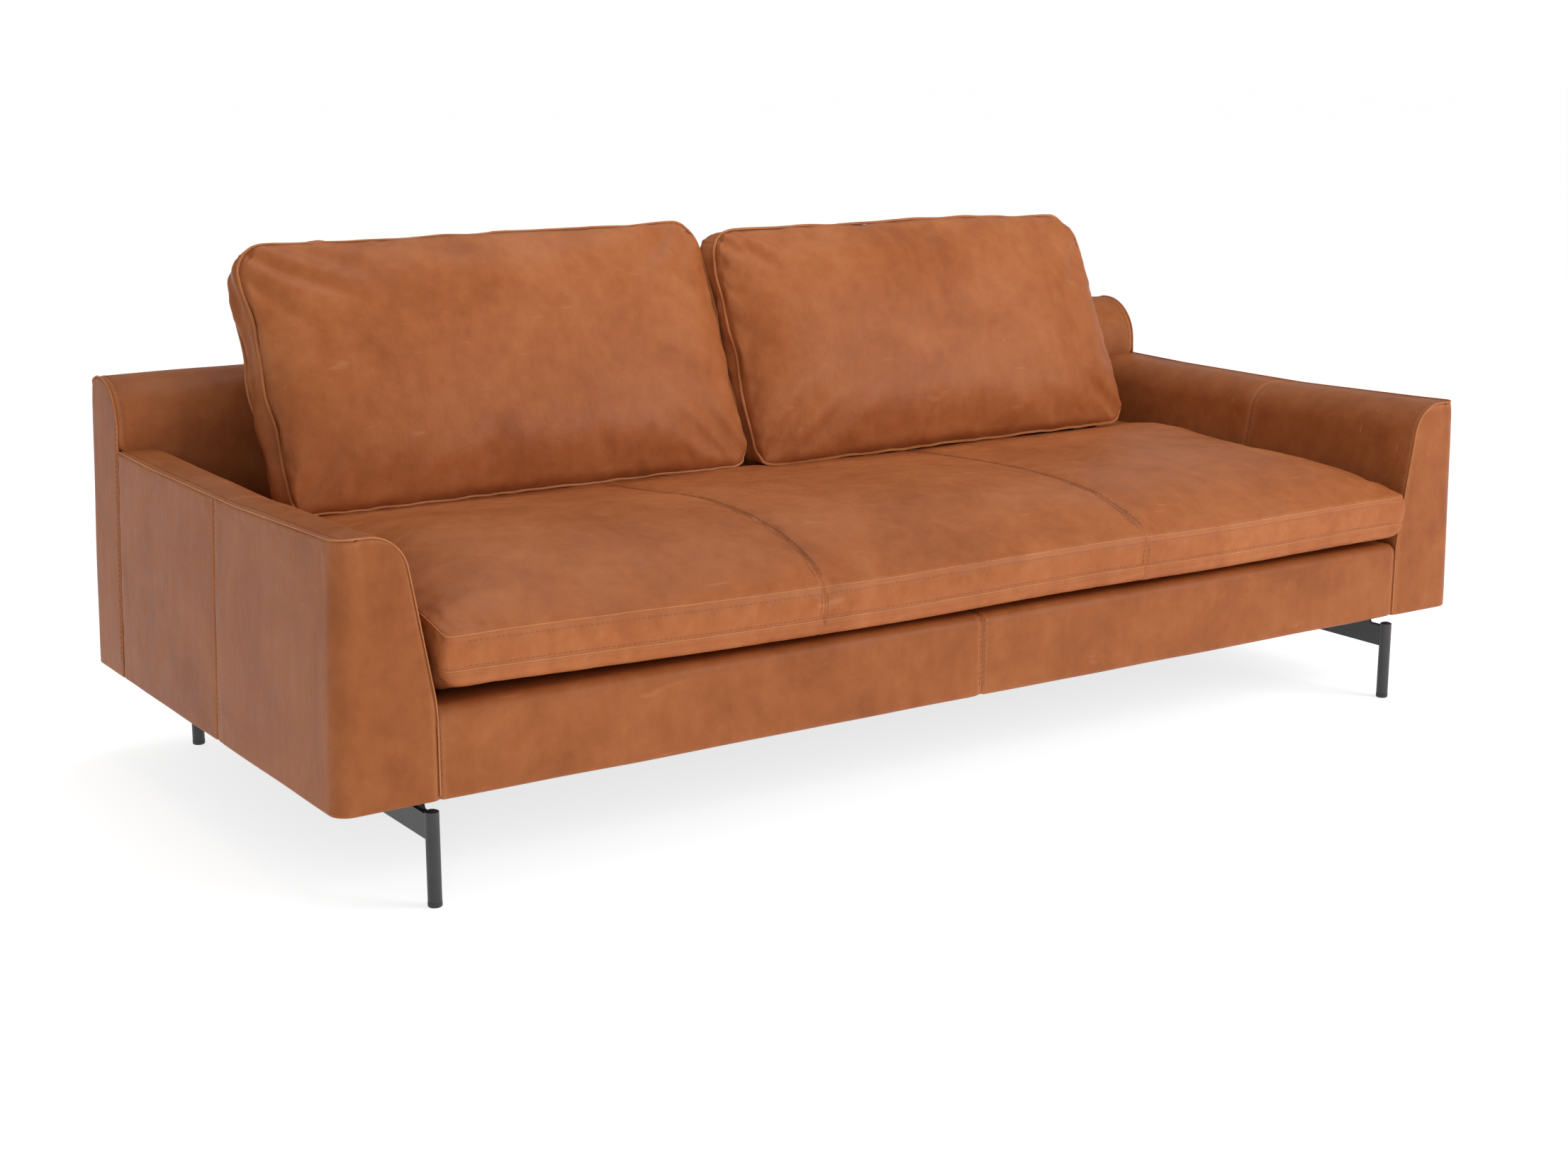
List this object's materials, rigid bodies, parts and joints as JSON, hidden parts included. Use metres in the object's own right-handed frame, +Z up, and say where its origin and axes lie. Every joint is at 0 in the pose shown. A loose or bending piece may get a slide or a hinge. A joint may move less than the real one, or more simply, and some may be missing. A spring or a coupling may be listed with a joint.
{
  "type": "sofa",
  "caption": "Long leather sofa with low arms, a bench seat cushion and loose leaning back cushions, raised on slim round black steel legs.",
  "frame": {"origin": "on the floor, under the middle of the overall footprint", "axes": "+X along the sofa's length, -Y towards the sitter's feet, +Y towards the back, +Z up"},
  "size_m": [2.26, 1.055, 0.8601],
  "materials": {
    "frame_wood": "sawn softwood, hidden",
    "side_board": "hardboard, hidden",
    "spring_steel": "drawn wire, hidden",
    "webbing": "elastic webbing, hidden",
    "foam": "polyurethane foam, hidden",
    "cushion_filling": "foam core in soft fibre wrap, hidden",
    "leather": "semi-aniline leather, satin, tan",
    "deck_cloth": "woven black deck cloth",
    "dust_cloth": "black non-woven dust cover",
    "black_steel": "black powder coat, fine texture",
    "black_plastic": "moulded black plastic, glossy",
    "zinc": "zinc plated",
    "zip": "brown coil zip",
    "zip_metal": "antiqued metal"
  },
  "bodies": {
    "sofa_body": {"arm_cover_left": "leather", "arm_cover_right": "leather", "arm_foam_left": "foam", "arm_foam_right": "foam", "arm_front_post_left": "frame_wood", "arm_front_post_right": "frame_wood", "arm_outer_cover_left": "leather", "arm_outer_cover_right": "leather", "arm_rear_post_left": "frame_wood", "arm_rear_post_right": "frame_wood", "arm_side_board_left": "side_board", "arm_side_board_right": "side_board", "arm_top_rail_left": "frame_wood", "arm_top_rail_right": "frame_wood", "back_cover": "leather", "back_foam": "foam", "back_post_left": "frame_wood", "back_post_middle_left": "frame_wood", "back_post_middle_right": "frame_wood", "back_post_right": "frame_wood", "back_rear_cover": "leather", "back_top_rail": "frame_wood", "back_webbing": "webbing", "corner_blocks": "frame_wood", "deck_cloth": "deck_cloth", "dust_cover": "dust_cloth", "foot_glides": "black_plastic", "front_rail": "frame_wood", "front_rail_cover": "leather", "front_rail_foam": "foam", "leg_bar_left": "black_steel", "leg_bar_right": "black_steel", "leg_boards": "frame_wood", "leg_bolts": "zinc", "leg_caps": "black_plastic", "leg_tube_front_left": "black_steel", "leg_tube_front_right": "black_steel", "leg_tube_rear_left": "black_steel", "leg_tube_rear_right": "black_steel", "mounting_brackets": "black_steel", "rear_rail": "frame_wood", "seat_springs": "spring_steel", "side_rail_left": "frame_wood", "side_rail_right": "frame_wood", "spring_clips": "spring_steel", "stretcher_left": "frame_wood", "stretcher_right": "frame_wood", "tee_nuts": "zinc"},
    "seat_cushion": {"seat_cushion_cover": "leather", "seat_cushion_core": "cushion_filling", "seat_zip": "zip"},
    "seat_zip_slider": {"seat_zip_slider": "zip_metal"},
    "back_cushion_left": {"back_cushion_cover_left": "leather", "back_cushion_filling_left": "cushion_filling", "back_zip_left": "zip"},
    "back_zip_slider_left": {"back_zip_slider_left": "zip_metal"},
    "back_cushion_right": {"back_cushion_cover_right": "leather", "back_cushion_filling_right": "cushion_filling", "back_zip_right": "zip"},
    "back_zip_slider_right": {"back_zip_slider_right": "zip_metal"}
  },
  "joints": [
    {"name": "seat_cushion_lift", "type": "slide", "parent": "sofa_body", "child": "seat_cushion", "axis": [0, 0, 1], "range_m": [0, 0.45]},
    {"name": "back_cushion_left_lift", "type": "slide", "parent": "seat_cushion", "child": "back_cushion_left", "axis": [0, 0, 1], "range_m": [0, 0.35]},
    {"name": "back_cushion_right_lift", "type": "slide", "parent": "seat_cushion", "child": "back_cushion_right", "axis": [0, 0, 1], "range_m": [0, 0.35]},
    {"name": "seat_zip_slide", "type": "slide", "parent": "seat_cushion", "child": "seat_zip_slider", "axis": [-1, 0, 0], "range_m": [0, 1.71]},
    {"name": "back_zip_left_slide", "type": "slide", "parent": "back_cushion_left", "child": "back_zip_slider_left", "axis": [-1, 0, 0], "range_m": [0, 0.664]},
    {"name": "back_zip_right_slide", "type": "slide", "parent": "back_cushion_right", "child": "back_zip_slider_right", "axis": [-1, 0, 0], "range_m": [0, 0.664]}
  ]
}
